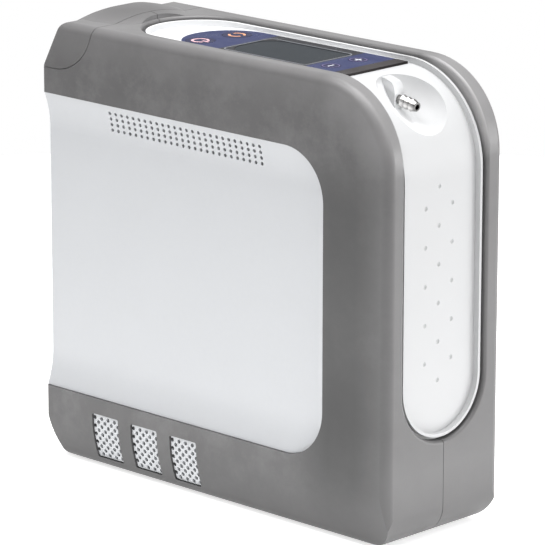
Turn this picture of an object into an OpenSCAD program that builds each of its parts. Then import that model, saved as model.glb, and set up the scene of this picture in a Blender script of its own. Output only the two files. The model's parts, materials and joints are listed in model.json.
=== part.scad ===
// Portable oxygen concentrator with a lift-out battery, in millimetres.
// X runs from the rear to the rounded front, Y across the thin body, Z up.
// The origin is at the bottom centre, on the plane that the rubber feet stand on.

/* [Housing] */
// Depth of the housing from rear to front
body_l = 222; // [214:1:240]
// Width of the housing across its thin side
body_w = 76; // [74:0.5:84]
// Height of the housing without its feet
body_h = 213.2; // [208:0.5:224]
// Thickness of the moulded walls
wall = 2.5; // [2:0.1:3]
// Radius of the large corner between top and front
front_r = 40; // [38:0.5:46]
// Rounding along the top and front edges of the sides
edge_r = 4.5; // [3:0.5:7]
// Height below which the sides curve in towards the bottom
base_z = 26; // [22:0.5:30]
// Radius of the curve of the sides and the rear towards the bottom
tuck_r = 60; // [50:1:90]
// Rounding along the bottom edges of the sides
base_r = 5; // [4:0.5:8]
// Radius of the lower front corner
chin_r = 15; // [8:0.5:18]
// Height below which the rear curves in towards the bottom
heel_z = 31; // [26:0.5:33]
// Rounding of the lower rear edge
heel_r = 6; // [4:0.5:10]
// Rounding of the upright rear edges
rear_r = 2.2; // [1:0.2:4]
// Gap at the seam between the two shells
seam_gap = 0.3; // [0.2:0.05:0.5]
// Clearance between pieces that sit in one another
fit = 0.3; // [0.2:0.05:0.4]

/* [Side panels] */
// Distance from the panel's front end to the front of the housing
panel_front = 39.5; // [35:0.5:50]
// Lower edge of the side panel above the housing's underside
panel_z0 = 34.5; // [31:0.1:38]
// Distance from the panel's upper edge to the top of the housing
panel_top = 35; // [32:0.1:40]
// Corner radius at the panel's front end
panel_r = 24; // [16:1:30]
// Depth of the dished middle of the panel
dish = 4.9; // [3.5:0.1:5]
// Step at the panel's upper and lower edge
panel_step = 1.2; // [0.8:0.1:1.6]
// Height of the slope from edge to dish
dish_run = 18; // [14:1:22]
// Length of the slope at the panel's front end
dish_end = 8; // [6:0.5:12]
// Half width of the grey strip left between the panels at the rear
rear_half = 22; // [18:0.5:26]
// Rows of intake holes
intake_rows = 4; // [3:1:4]
// Intake holes in a row
intake_cols = 26; // [20:1:26]
// Distance between intake holes along a row
intake_pitch = 3.89; // [3.5:0.01:4]
// Distance between the rows of intake holes
intake_rise = 2.75; // [2.5:0.05:2.9]
// Diameter of an intake hole
intake_d = 1.8; // [1.4:0.1:2]

/* [Exhaust windows] */
// Width of an exhaust window
window_w = 17.6; // [14:0.1:20]
// Distance from one exhaust window to the next
window_pitch = 26.15; // [24:0.05:27]
// Distance from the rear of the housing to the first window
window_rear = 32; // [29:0.5:36]
// Lower edge of the windows above the housing's underside
window_z0 = 4.5; // [3.6:0.1:7]
// Upper edge of the windows above the housing's underside
window_z1 = 26.9; // [22:0.1:28]
// Diameter of a hole in the exhaust grille
grille_d = 2; // [1.6:0.1:2.4]

/* [Front strip] */
// Half width of the opening that the strip lies in
strip_half = 27.4; // [26:0.1:28.5]
// Radius of the strip's own bend, measured at the housing's surface
strip_r = 46; // [42:0.5:50]
// Depth of the strip's face below the housing's surface
strip_depth = 4.4; // [3.5:0.1:5.5]
// Thickness of the strip
strip_t = 2.2; // [1.8:0.1:2.6]
// Half width of the strip's face between its upturned edges
face_half = 24.4; // [23:0.1:25]
// Thickness of the upturned edges
brim_t = 1.4; // [1.2:0.1:2.2]
// How far the upturned edges stay below the housing's surface
brim_sunk = 1.6; // [0.4:0.1:2.2]
// Distance from the rear of the housing to the strip's straight part
strip_rear = 68; // [65:1:80]
// Lower end of the strip's straight part above the housing's underside
strip_z = 73; // [60:0.5:100]
// Rounding of the housing's edge along the strip
rim_r = 1.5; // [1:0.25:3]
// Diameter of a grip dimple
dimple_d = 3.2; // [2.4:0.1:4]
// Distance between the dimples of one column
dimple_rise = 17.9; // [14:0.1:18]
// Distance between the columns of dimples
dimple_col = 8.8; // [7:0.1:10]

/* [Controls] */
// Half width of the printed control overlay
overlay_half = 22.8; // [20:0.1:24]
// Thickness of the overlay
overlay_t = 1.1; // [0.9:0.1:1.4]
// Distance from the display window to the bend of the strip
lcd_room = 27; // [26:0.5:40]
// Width of the display window
lcd_w = 30; // [22:1:32]
// Diameter of the power and mode keys
key_d = 14; // [10:0.5:15]
// Diameter of the two setting keys
small_key_d = 9; // [7:0.5:11]
// Travel of a key
key_travel = 0.5; // [0.3:0.05:0.6]

/* [Oxygen outlet] */
// Outer diameter of the barbs
barb_d = 6; // [5.5:0.1:6.4]
// Diameter of the gas bore
barb_bore = 2.6; // [2:0.1:3]
// Length of the barb in front of its mount
barb_l = 11; // [9:0.5:13]
// Downward tilt of the barb
barb_tilt = 10; // [5:1:12]
// Depth of the finger scoop below the strip's face
scoop_depth = 10; // [8:0.5:11]
// Largest radius of the scoop across the body
scoop_r = 19; // [17:0.5:19.5]
// Thickness of the fin that carries the barb
fin_t = 6; // [5.4:0.2:8]

/* [Battery] */
// Thickness of the battery pack from rear to front
pack_t = 22; // [20.4:0.2:23]
// Distance from the battery pack to the sides of the housing
pack_side = 9.4; // [9:0.1:12]
// Bottom of the battery pack above the housing's underside
pack_z = 40.8; // [40:0.2:43]
// Diameter of a battery cell
cell_d = 18.3; // [18:0.1:18.5]
// Length of a battery cell
cell_l = 65; // [60:0.5:66]
// Height of the battery's cap, from its seam to the top of the housing
cap_h = 22.7; // [21:0.1:26]

/* [Inside] */
// Diameter of a sieve bed
bed_d = 36; // [30:1:36]
// Height kept above the sieve beds for the manifold and the valves
bed_head = 38.7; // [38.7:0.5:50]
// Diameter of the product tank
tank_d = 30; // [24:1:32]
// Space on each side of the square cooling fan
fan_room = 3; // [3:0.5:6]
// Diameter of the compressor motor
motor_d = 46; // [38:1:48]
// How far the rubber feet stand below the housing
foot_proud = 0.8; // [0.5:0.1:1.5]

/* [Hidden] */
$fn = 64;
far = 400;
rear_x = -body_l / 2;
front_x = body_l / 2;
corner_x = front_x - strip_r;
corner_z = body_h - strip_r;
face_z = body_h - strip_depth;
floor_z = face_z - strip_t;
strip_x = rear_x + strip_rear;
panel_x = front_x - panel_front;
panel_z1 = body_h - panel_top;
seam_z = body_h - cap_h;
window_x = rear_x + window_rear;
pack_w = body_w - 2 * pack_side;
shell_grey = [0.45, 0.45, 0.46];
panel_white = [0.9, 0.91, 0.92];

// Bite that rounds the corner of an area, for a corner at the origin that opens to +X and +Y
module corner_bite(r)
    difference() {
        translate([-1, -1]) square(r + 1);
        translate([r, r]) circle(r);
    }

// Rectangle with a radius for each corner: lower left, lower right, upper right, upper left
module rounded_area(lo, hi, radii) {
    corners = [lo, [hi.x, lo.y], hi, [lo.x, hi.y]];
    difference() {
        translate(lo) square(hi - lo);
        for (k = [0:3])
            if (radii[k] > 0)
                translate(corners[k]) rotate(90 * k) corner_bite(radii[k]);
    }
}

// Bite that curves an upright edge at X zero in towards the bottom, with a rounding below
module tuck_bite(top, r, sunk) {
    reach = tuck_r - sqrt(pow(tuck_r - r, 2) - pow(top - r, 2));
    meet = (r - sunk) * (top - r) / (tuck_r - r);
    difference() {
        translate([-1, -1]) square([reach + 1, top + 1]);
        translate([tuck_r, top]) circle(tuck_r - sunk, $fn = 128);
    }
    difference() {
        translate([-1, -1]) square([reach + 1, r - meet + 1]);
        translate([reach, r]) circle(r - sunk);
    }
}

// Extrudes a drawing of Y and Z along X
module along_x(x0, x1)
    translate([x0, 0, 0]) rotate([90, 0, 90]) linear_extrude(x1 - x0) children();

// Extrudes a drawing of X and Z along Y
module along_y(y0, y1)
    translate([0, y1, 0]) rotate([90, 0, 0]) linear_extrude(y1 - y0) children();

// Stands a node on its feet: the nodes are drawn from the housing's underside
module on_feet()
    translate([0, 0, foot_proud]) children();

// Builds a left piece as the mirror image of its right one
module mirrored(left)
    mirror([0, left ? 1 : 0, 0]) children();

// Cross-section of the housing, sunk by a depth
module cross_section(sunk) {
    half = body_w / 2 - sunk;
    high = max(0, edge_r - sunk);
    difference() {
        rounded_area([-half, sunk], [half, body_h - sunk], [0, 0, high, high]);
        for (side = [0, 1])
            mirror([side, 0]) translate([-body_w / 2, 0]) tuck_bite(base_z, base_r, sunk);
    }
}

// Plan of the housing, sunk by a depth
module plan_area(sunk) {
    half = body_w / 2 - sunk;
    front = max(0, edge_r - sunk);
    rear = max(0, rear_r - sunk);
    rounded_area([rear_x + sunk, -half], [front_x - sunk, half], [rear, front, front, rear]);
}

// The housing's outer form, sunk by a depth: it gives the skin and the hollow inside
module housing(sunk) {
    half = body_w / 2 - sunk;
    high = max(0, edge_r - sunk);
    middle = [front_x - front_r, body_h - front_r];
    difference() {
        union() {
            difference() {
                intersection() {
                    along_x(rear_x - 1, front_x + 1) cross_section(sunk);
                    linear_extrude(body_h + 1) plan_area(sunk);
                }
                translate([middle.x, -far / 2, middle.y]) cube(far);
            }
            translate([middle.x, 0, middle.y]) rotate([90, 0, 0])
                rotate_extrude(angle = 90)
                    rounded_area([0, -half], [front_r - sunk, half], [0, high, high, 0]);
        }
        along_y(-far / 2, far / 2) {
            translate([front_x - sunk, sunk]) rotate(90) corner_bite(chin_r - sunk);
            translate([rear_x, 0]) tuck_bite(heel_z, heel_r, sunk);
        }
    }
}

// Sweeps half a strip profile along the top, round a corner, down the front and round both ends.
// In the profile X is the distance from the middle and Y the height over the housing's surface.
module strip_sweep(r = strip_r) {
    bend = [front_x - r, body_h - r];
    module both_sides() {
        children();
        mirror([1, 0]) children();
    }
    translate([0, 0, body_h]) along_x(strip_x, bend.x) both_sides() children();
    translate([bend.x, 0, bend.y]) rotate([90, 0, 0])
        rotate_extrude(angle = 90) translate([r, 0]) mirror([1, -1]) both_sides() children();
    translate([front_x, 0, strip_z])
        linear_extrude(bend.y - strip_z) mirror([1, -1]) both_sides() children();
    translate([strip_x, 0, body_h]) rotate([0, 0, 90]) rotate_extrude(angle = 180) children();
    translate([front_x, 0, strip_z]) rotate([0, 90, 0]) rotate([0, 0, -90])
        rotate_extrude(angle = 180) children();
}

// Opening for the strip, with its rounded rim
return_h = 9;
over = 5;
module strip_opening() {
    strip_sweep() translate([0, -return_h - 1]) square([strip_half, return_h + 1 + over]);
    strip_sweep(front_r)
        difference() {
            translate([0, -rim_r]) square([strip_half + rim_r, rim_r + over]);
            translate([strip_half + rim_r, -rim_r]) circle(rim_r);
        }
}

// Wall that the shells turn inward along the strip
module strip_return()
    intersection() {
        housing(wall / 2);
        strip_sweep() translate([strip_half - 1, -return_h]) square([wall + 1, return_h + over]);
    }

// Outline of a side panel, grown or shrunk by a distance
module panel_outline(grow)
    rounded_area([rear_x - 20, panel_z0 - grow], [panel_x + grow, panel_z1 + grow],
        [0, panel_r + grow, panel_r + grow, 0]);

// What the panel's dish takes out of the right side, sunk by a depth
end_arc = (dish_end * dish_end + pow(dish - 0.8, 2)) / (2 * (dish - 0.8));
slope_arc = (dish_run * dish_run + pow(dish - panel_step, 2)) / (2 * (dish - panel_step));
module dish_form(sunk) {
    side = body_w / 2;
    intersection() {
        along_x(rear_x - 30, panel_x + 30) {
            for (z = [panel_z0 + dish_run, panel_z1 - dish_run])
                translate([side - dish + slope_arc, z]) circle(slope_arc + sunk, $fn = 128);
            translate([side - dish - sunk, panel_z0 + dish_run])
                square([far, panel_z1 - panel_z0 - 2 * dish_run]);
        }
        linear_extrude(far) {
            translate([panel_x - dish_end, side - dish + end_arc]) circle(end_arc + sunk);
            translate([rear_x - 30, side - dish - sunk])
                square([panel_x - dish_end - rear_x + 30, far]);
        }
    }
}

// Block behind the right panel's surface, sunk by a depth
module panel_block(sunk)
    difference() {
        translate([rear_x + sunk, 0, 0]) cube([far, body_w / 2 - sunk, body_h]);
        dish_form(sunk);
    }

// Region of the housing that belongs to the battery's cap, grown by a gap
cap_arc = 26;
cap_x = rear_x + 8.5;
module cap_region(grow)
    along_y(-far / 2, far / 2) {
        translate([-far, seam_z - grow]) square([far + cap_x, far]);
        translate([cap_x, seam_z + cap_arc]) circle(cap_arc + grow);
        translate([-far, seam_z + cap_arc]) square([far + cap_x + cap_arc + grow, far]);
    }

// Low crown over the rear of the top, highest in the middle
crown_x = rear_x + 21;
crown_r = 86;
crown_h = 4;
module crown()
    intersection() {
        translate([rear_x, -body_w / 2 + edge_r, body_h - wall / 2]) cube([80, body_w - 2 * edge_r, 20]);
        translate([crown_x, 0, body_h + crown_h - crown_r]) sphere(crown_r, $fn = 256);
    }

// Posts that the two shells are screwed together by, as places along X and Z
post_r = 4.6;
posts = [[front_x - 11, 22], [corner_x + 29.5, corner_z + 11.5],
    [rear_x + 47, body_h - 22], [rear_x + 21, 14]];
screw_l = 20;
module at_posts()
    for (p = posts) translate([p.x, 0, p.y]) rotate([-90, 0, 0]) children();

// Bay for the battery pack
pack_x = rear_x + wall + 0.9;
mouth = 0.4;
module pack_block(grow, z0, z1)
    translate([pack_x - grow, -pack_w / 2 - grow, z0])
        cube([pack_t + 2 * grow, pack_w + 2 * grow, z1 - z0]);

// One half of the housing, right for y above zero
release_w = 24;
release_h = 7;
release_z = seam_z - 6.5;
inlet_z = 27;
foot_r = 6;
feet = [[rear_x + 31, 15], [front_x - 27, 15]];
module half_shell(left) {
    difference() {
        intersection() {
            union() {
                difference() {
                    union() {
                        housing(0);
                        crown();
                    }
                    difference() {
                        housing(wall);
                        cap_region(wall + fit / 2);
                    }
                }
                strip_return();
                intersection() {
                    housing(wall / 2);
                    at_posts() cylinder(h = body_w / 2, r = post_r);
                }
            }
            translate([-far / 2, seam_gap / 2, -1]) cube(far);
        }
        strip_opening();
        along_y(rear_half, far / 2) panel_outline(0);
        cap_region(fit / 2);
        pack_block(mouth, seam_z - 20, seam_z + 20);
        windows();
        for (p = feet) translate([p.x, p.y, -1]) cylinder(h = 2.3, r = foot_r + fit / 2);
        at_posts()
            if (left) cylinder(h = 12, r = 1.25);
            else union() {
                translate([0, 0, -1]) cylinder(h = body_w, r = 1.7);
                translate([0, 0, 9]) cylinder(h = body_w, r = 3.2);
            }
        translate([rear_x - 1, 0, inlet_z]) rotate([0, 90, 0]) cylinder(h = 5, r = 5.2);
        translate([rear_x - 1, -release_w / 2 - fit, release_z - release_h / 2 - fit])
            cube([5, release_w + 2 * fit, release_h + 2 * fit]);
    }
}

// The three exhaust windows of the right side
module windows()
    for (k = [0:2])
        along_y(20, far / 2)
            rounded_area([window_x + k * window_pitch, window_z0],
                [window_x + k * window_pitch + window_w, window_z1], [1, 1, 1, 1]);

module left_shell()
    color(shell_grey) on_feet() mirrored(true) half_shell(true);

module right_shell()
    color(shell_grey) on_feet() half_shell(false);

// Dished side panel with its intake holes and the flange that holds it from inside
intake_x = rear_x + 43;
intake_z = panel_z1 - 4.3;
module side_panel()
    difference() {
        union() {
            intersection() {
                difference() {
                    panel_block(0);
                    panel_block(wall);
                }
                along_y(rear_half + fit / 2, far / 2) panel_outline(-fit / 2);
            }
            intersection() {
                along_y(body_w / 2 - wall - fit / 2 - 1.5, body_w / 2 - wall - fit / 2)
                    difference() {
                        panel_outline(3);
                        panel_outline(-1.5);
                    }
                translate([rear_x + wall + fit, 0, 0]) cube(far);
            }
        }
        for (row = [0:intake_rows - 1], col = [0:intake_cols - 1])
            translate([intake_x + col * intake_pitch, 20, intake_z - row * intake_rise])
                rotate([-90, 0, 0]) cylinder(h = 30, d = intake_d, $fn = 16);
    }

module left_panel()
    color(panel_white) on_feet() mirrored(true) side_panel();

module right_panel()
    color(panel_white) on_feet() side_panel();

// Spindle that scoops out the strip's corner, with its axis along the strip, grown by a distance
scoop_angle = 38;
scoop_arc = 34;
module scoop_form(grow) {
    out = strip_r - strip_depth - scoop_depth + scoop_r;
    translate([corner_x, 0, corner_z]) rotate([0, scoop_angle, 0]) translate([0, 0, out])
        rotate([0, 90, 0]) rotate_extrude()
            intersection() {
                translate([scoop_r - scoop_arc, 0]) circle(scoop_arc + grow, $fn = 128);
                translate([0, -far]) square([far, 2 * far]);
            }
}

// Solid under the strip's face, down to a depth, as wide as asked
module under_face(depth, half)
    strip_sweep() translate([0, -strip_depth - depth]) square([half, depth]);

// Axis of the outlet: it starts at the fin's nose
fin_x = corner_x + 17;
fin_r = 6.3;
outlet_z = corner_z + 31;
module at_outlet()
    translate([fin_x, 0, outlet_z]) rotate([0, 90 + barb_tilt, 0]) children();

module front_strip()
    color([0.96, 0.96, 0.97]) on_feet() difference() {
        union() {
            difference() {
                union() {
                    strip_sweep() {
                        translate([0, -strip_depth - strip_t])
                            square([strip_half - fit / 2, strip_t]);
                        translate([face_half, -strip_depth - 1])
                            square([brim_t, strip_depth + 1 - brim_sunk]);
                    }
                    intersection() {
                        scoop_form(strip_t);
                        under_face(20, face_half - 0.5);
                    }
                }
                scoop_form(0);
            }
            intersection() {
                along_y(-fin_t / 2, fin_t / 2) {
                    translate([corner_x, corner_z + 20]) square([fin_x - corner_x, 14]);
                    translate([fin_x - fin_r, corner_z + 34]) circle(fin_r);
                    translate([corner_x, corner_z + 20]) square([fin_x - corner_x - fin_r, 20.3]);
                }
                under_face(20, face_half);
                scoop_form(strip_t / 2);
            }
        }
        dimples();
        lcd_prism(-1, floor_z - 1, face_z + 1);
        for (k = keys) translate([k.x, k.y, floor_z - 1]) cylinder(h = strip_t + 2, r = stem_r + fit);
        at_outlet() translate([0, 0, -20]) cylinder(h = 30, d = barb_neck + 0.1);
    }

// Shallow grip dimples on the strip's front face, in three staggered columns
dimple_z = 162.6;
module dimples()
    for (row = [0:5], col = [-1:1])
        if (col == 0 || row < 5)
            translate([front_x - strip_depth + dimple_d * 0.35, col * dimple_col,
                    dimple_z - (row + abs(col) / 2) * dimple_rise])
                sphere(d = dimple_d, $fn = 32);

// Printed overlay with a round rear end
overlay_x0 = strip_x + 10;
overlay_x1 = corner_x + 1.5;
lcd_x = overlay_x0 + 21;
lcd_l = corner_x - lcd_room - lcd_x;
keys_x = corner_x - 16.5;
keys = [[overlay_x0, -10.5, key_d], [overlay_x0 + 3, 10.5, key_d],
    [keys_x, -9, small_key_d], [keys_x, 9, small_key_d]];
stem_r = 1.6;
module lcd_prism(grow, z0, z1)
    translate([0, 0, z0]) linear_extrude(z1 - z0)
        rounded_area([lcd_x - grow, -lcd_w / 2 - grow], [lcd_x + lcd_l + grow, lcd_w / 2 + grow],
            [10 + grow, 1 + grow, 1 + grow, 10 + grow]);

module control_overlay()
    color([0.22, 0.24, 0.36]) on_feet() difference() {
        translate([0, 0, face_z + 0.02]) union() {
            translate([overlay_x0, 0, 0]) cylinder(h = overlay_t, r = overlay_half);
            translate([overlay_x0, -overlay_half, 0])
                cube([overlay_x1 - overlay_x0, 2 * overlay_half, overlay_t]);
        }
        lcd_prism(0.15, face_z - 1, body_h);
        for (k = keys)
            translate([k.x, k.y, face_z - 1]) cylinder(h = 5, d = k.z + 0.3);
    }

module display_window()
    color([0.27, 0.32, 0.37]) on_feet() lcd_prism(0, face_z + 0.02, face_z + overlay_t - 0.1);

module display_module()
    color([0.12, 0.13, 0.14]) on_feet()
        lcd_prism(-2, board_z + board_t + 0.3, face_z - 0.1);

// Board under the strip that carries the display and the key switches
board_z = face_z - 8.6;
board_t = 1.6;
module display_board()
    color([0.1, 0.35, 0.2]) on_feet()
        translate([strip_x - 5, -20, board_z]) cube([corner_x - 19 - strip_x + 5 + 8, 40, board_t]);

// Key on its stem
key_z = face_z + 0.02 + key_travel + 0.05;
module key_cap(k) {
    top = face_z + overlay_t + 0.06;
    translate([k.x, k.y, key_z]) cylinder(h = top - key_z, d = k.z);
    translate([k.x, k.y, board_z + board_t + 2.6 + key_travel + 0.1])
        cylinder(h = key_z - board_z - board_t - 2.6 - key_travel, r = stem_r);
}

module power_button() color([0.16, 0.18, 0.38]) on_feet() key_cap(keys[0]);
module mode_button() color([0.16, 0.18, 0.38]) on_feet() key_cap(keys[1]);
module minus_button() color([0.2, 0.24, 0.5]) on_feet() key_cap(keys[2]);
module plus_button() color([0.2, 0.24, 0.5]) on_feet() key_cap(keys[3]);

module key_switches()
    color([0.75, 0.75, 0.72]) on_feet()
        for (k = keys) {
            translate([k.x - 3, k.y - 3, board_z + board_t]) cube([6, 6, 2]);
            translate([k.x, k.y, board_z + board_t + 2]) cylinder(h = 0.6, r = 1.5);
        }

// Metal barb with its threaded tail through the fin
barb_neck = 4.2;
tail_l = 21;
module outlet_barb()
    color([0.8, 0.8, 0.8]) on_feet() at_outlet() difference() {
        union() {
            translate([0, 0, -tail_l]) cylinder(h = tail_l + barb_l, d = barb_neck);
            for (k = [0:2])
                translate([0, 0, barb_l * (0.22 + 0.26 * k)])
                    cylinder(h = barb_l * 0.24, d1 = barb_d, d2 = barb_neck);
        }
        translate([0, 0, -tail_l - 1]) cylinder(h = tail_l + barb_l + 2, d = barb_bore);
    }

module outlet_nut()
    color([0.7, 0.68, 0.6]) on_feet() at_outlet() translate([0, 0, -14.2]) difference() {
        cylinder(h = 2.5, d = 8, $fn = 6);
        translate([0, 0, -1]) cylinder(h = 5, d = barb_neck + 0.1);
    }

// Grille plate behind the exhaust windows, raised into each window, with staggered holes
grille_cols = 4;
grille_rise = 2.05;
grille_sunk = 0.9;
grille_back = 1.4;
module exhaust_grille() {
    module plate_area(front, z0, z1)
        intersection() {
            difference() {
                cross_section(front);
                cross_section(wall + fit + grille_back);
            }
            translate([25, z0]) square([far, z1 - z0]);
        }
    difference() {
        union() {
            along_x(window_x - 3, window_x + 2 * window_pitch + window_w + 3)
                plate_area(wall + fit, window_z0 - 0.6, window_z1 + 2.6);
            for (k = [0:2])
                along_x(window_x + k * window_pitch + fit, window_x + k * window_pitch + window_w - fit)
                    plate_area(grille_sunk, window_z0 + fit, window_z1 - fit);
        }
        for (k = [0:2], row = [0:9], col = [0:grille_cols - 1])
            translate([window_x + k * window_pitch + (col + 0.75 - 0.5 * (row % 2))
                    * window_w / grille_cols, 15, window_z0 + 1.9 + row * grille_rise])
                rotate([-90, 0, 0]) cylinder(h = 30, d = grille_d, $fn = 16);
    }
}

module left_exhaust_grille()
    color(panel_white) on_feet() mirrored(true) exhaust_grille();

module right_exhaust_grille()
    color(panel_white) on_feet() exhaust_grille();

// Space behind the cap's slanted rear face, sunk by a depth, with the round brow above it
lean = 28;
brow_r = 5;
cap_step = 0.9;
module behind_lean(sunk, top) {
    foot_x = rear_x + cap_step + sunk / cos(lean);
    edge = [foot_x + (top - seam_z) * tan(lean), top];
    reach = brow_r * tan(45 - lean / 2);
    along_y(-far / 2, far / 2) {
        translate([foot_x, seam_z]) rotate(-lean) translate([-far, -far / 2]) square(far);
        difference() {
            polygon([edge - reach * [sin(lean), cos(lean)], edge + [-5, 5], edge + [reach, 5],
                edge + [reach, 0], edge + [reach, -brow_r]]);
            translate(edge + [reach, -brow_r]) circle(brow_r);
        }
    }
}

module battery_cap()
    color(shell_grey) on_feet() difference() {
        intersection() {
            union() {
                difference() {
                    housing(0);
                    behind_lean(0, body_h);
                }
                difference() {
                    crown();
                    behind_lean(0, body_h + crown_h);
                }
            }
            cap_region(-fit / 2);
        }
        difference() {
            intersection() {
                housing(wall);
                cap_region(1);
            }
            behind_lean(wall, body_h - wall);
        }
    }

// Case of the battery pack, with the neck that holds the cap
case_wall = 0.9;
neck_x0 = rear_x + 17;
neck_z = body_h - wall - fit;
tier_h = cell_l + 1.5;
tiers = floor((seam_z - 14 - pack_z) / tier_h);
cell_cols = floor((pack_w - 2 * case_wall) / (cell_d + 0.1));
module battery_case()
    color([0.16, 0.16, 0.17]) on_feet() difference() {
        union() {
            pack_block(0, pack_z, seam_z - fit / 2);
            translate([neck_x0, -pack_w / 2 + 2, seam_z - fit])
                cube([pack_x + pack_t - neck_x0, pack_w - 4, neck_z - seam_z + fit]);
        }
        pack_block(-case_wall, pack_z + case_wall, pack_z + tiers * tier_h + 1.5);
        translate([pack_x - 1, -release_w / 2 - 3, release_z - release_h / 2 - 3])
            cube([5, release_w + 6, far]);
    }

module battery_cells()
    color([0.15, 0.35, 0.6]) on_feet()
        for (tier = [0:tiers - 1], col = [0:cell_cols - 1])
            translate([pack_x + pack_t / 2, (col - (cell_cols - 1) / 2) * (cell_d + 0.1),
                    pack_z + case_wall + 0.3 + tier * tier_h])
                cylinder(h = cell_l, d = cell_d);

// Contact blades under the pack and the springs that meet them
contact_pitch = 7;
module battery_contacts()
    color([0.85, 0.7, 0.35]) on_feet()
        for (k = [-2:2])
            translate([pack_x + 6, k * contact_pitch - 1.5, pack_z - 0.5]) cube([8, 3, 0.5]);

module bay_contacts()
    color([0.85, 0.7, 0.35]) on_feet()
        for (k = [-2:2])
            translate([pack_x + 7, k * contact_pitch - 1, pack_z - 1.8]) cube([6, 2, 1]);

// Guide that the pack slides in, open to the rear wall
bay_wall = 1.2;
bay_floor = pack_z - 1.8;
module battery_bay() {
    inner = pack_w / 2 + fit;
    x1 = pack_x + pack_t + fit;
    color([0.25, 0.25, 0.26]) on_feet() difference() {
        translate([pack_x - 0.6, -inner - bay_wall, bay_floor - 2])
            cube([x1 + bay_wall - pack_x + 0.6, 2 * (inner + bay_wall), seam_z - 7 - bay_floor + 2]);
        translate([pack_x - 2, -inner, bay_floor]) cube([x1 - pack_x + 2, 2 * inner, far]);
        translate([pack_x - 2, -release_w / 2 - 1, release_z - release_h])
            cube([5, release_w + 2, far]);
    }
}

// Push latch in the rear wall, in line with the pocket of the pack
release_travel = 2;
module battery_release()
    color([0.3, 0.3, 0.31]) on_feet() difference() {
        translate([rear_x, -release_w / 2, release_z - release_h / 2])
            cube([wall + 0.5, release_w, release_h]);
        for (k = [-1:1])
            translate([rear_x - 0.4, -release_w / 2 - 1, release_z + 2 * k - 0.4])
                cube([0.9, release_w + 2, 0.8]);
    }

// Foam pads behind the intake holes
module intake_foam()
    translate([intake_x - 4, body_w / 2 - dish - wall - fit - 3, intake_z - 12])
        cube([(intake_cols - 1) * intake_pitch + 8, 3, 14]);

module left_intake_foam()
    color([0.2, 0.2, 0.2]) on_feet() mirrored(true) intake_foam();

module right_intake_foam()
    color([0.2, 0.2, 0.2]) on_feet() intake_foam();

module rubber_feet()
    color([0.12, 0.12, 0.12]) on_feet()
        for (p = feet, side = [-1, 1])
            translate([p.x, side * p.y, -foot_proud]) cylinder(h = foot_proud + 1.2, r = foot_r);

// Screws from the right shell into the posts of the left one
module case_screws()
    color([0.6, 0.6, 0.62]) on_feet() at_posts() difference() {
        union() {
            translate([0, 0, 9 + 0.05 - screw_l]) cylinder(h = screw_l, r = 1.2);
            translate([0, 0, 9.05]) cylinder(h = 2.4, r = 2.8);
        }
        translate([0, 0, 10.4]) cylinder(h = 3, r = 1.2, $fn = 6);
    }

// Round inlet for the charger, with its centre pin
module power_inlet()
    color([0.1, 0.1, 0.1]) on_feet() translate([rear_x + 0.2, 0, inlet_z]) rotate([0, 90, 0])
        difference() {
            cylinder(h = 13, r = 5);
            translate([0, 0, -1]) cylinder(h = 10.5, r = 2.75);
        }

module inlet_pin()
    color([0.85, 0.8, 0.6]) on_feet() translate([rear_x + 2, 0, inlet_z]) rotate([0, 90, 0])
        cylinder(h = 7.5, r = 1);

// Frame that carries everything inside
tray_z = wall + fit;
tray_t = 2.5;
tray_top = tray_z + tray_t;
shelf_z = 92;
shelf_t = 2;
shelf_top = shelf_z + shelf_t;
bulk_x = pack_x + pack_t + fit + bay_wall + fit;
chassis_half = body_w / 2 - dish - wall - 0.6;
module chassis()
    color([0.3, 0.32, 0.34]) on_feet() difference() {
        union() {
            translate([bulk_x, -20, tray_z]) cube([front_x - 14 - bulk_x, 40, tray_t]);
            translate([bulk_x, -chassis_half, bay_floor])
                cube([2, 2 * chassis_half, seam_z - 8 - bay_floor]);
            translate([bulk_x, -20, tray_z]) cube([2, 40, bay_floor]);
            translate([bulk_x, -chassis_half, shelf_z])
                cube([front_x - 14 - bulk_x, 2 * chassis_half, shelf_t]);
            for (side = [-1, 1])
                translate([front_x - 20, side * 17 - 1.5, tray_z]) cube([3, 3, shelf_z - tray_z + 1]);
        }
        for (x = [bed_x[0], bed_x[1], tank_x])
            translate([x, 0, shelf_z - 1]) cylinder(h = 5, r = 8);
        translate([head_x, 0, shelf_z - 1]) cylinder(h = 5, r = 5);
        translate([tube_x, 0, shelf_z - 1]) cylinder(h = 5, r = tube_d / 2 + 1);
        for (x = [filter_x, fan_x])
            translate([x, -12, shelf_z - 1]) cylinder(h = 5, r = 9);
    }

// Two sieve beds with their end caps
bed_gap = 2;
bed_x = [front_x - 39 - bed_d - bed_gap, front_x - 39];
bed_z = shelf_top + fit;
bed_h = board_z - bed_head - bed_z;
module sieve_bed(x)
    color([0.78, 0.8, 0.83]) on_feet() translate([x, 0, bed_z]) {
        cylinder(h = bed_h + 4, d = bed_d - 3);
        cylinder(h = 6, d = bed_d);
        translate([0, 0, bed_h - 2]) cylinder(h = 6, d = bed_d);
    }
module sieve_bed_a() sieve_bed(bed_x[0]);
module sieve_bed_b() sieve_bed(bed_x[1]);

tank_x = bed_x[0] - bed_d / 2 - tank_d / 2 - 5;
tank_h = bed_h + 10;
module product_tank()
    color([0.82, 0.82, 0.8]) on_feet() translate([tank_x, 0, bed_z]) {
        cylinder(h = tank_h - 4, d = tank_d);
        translate([0, 0, tank_h - 4]) cylinder(h = 4, d1 = tank_d, d2 = 14);
    }

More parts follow.
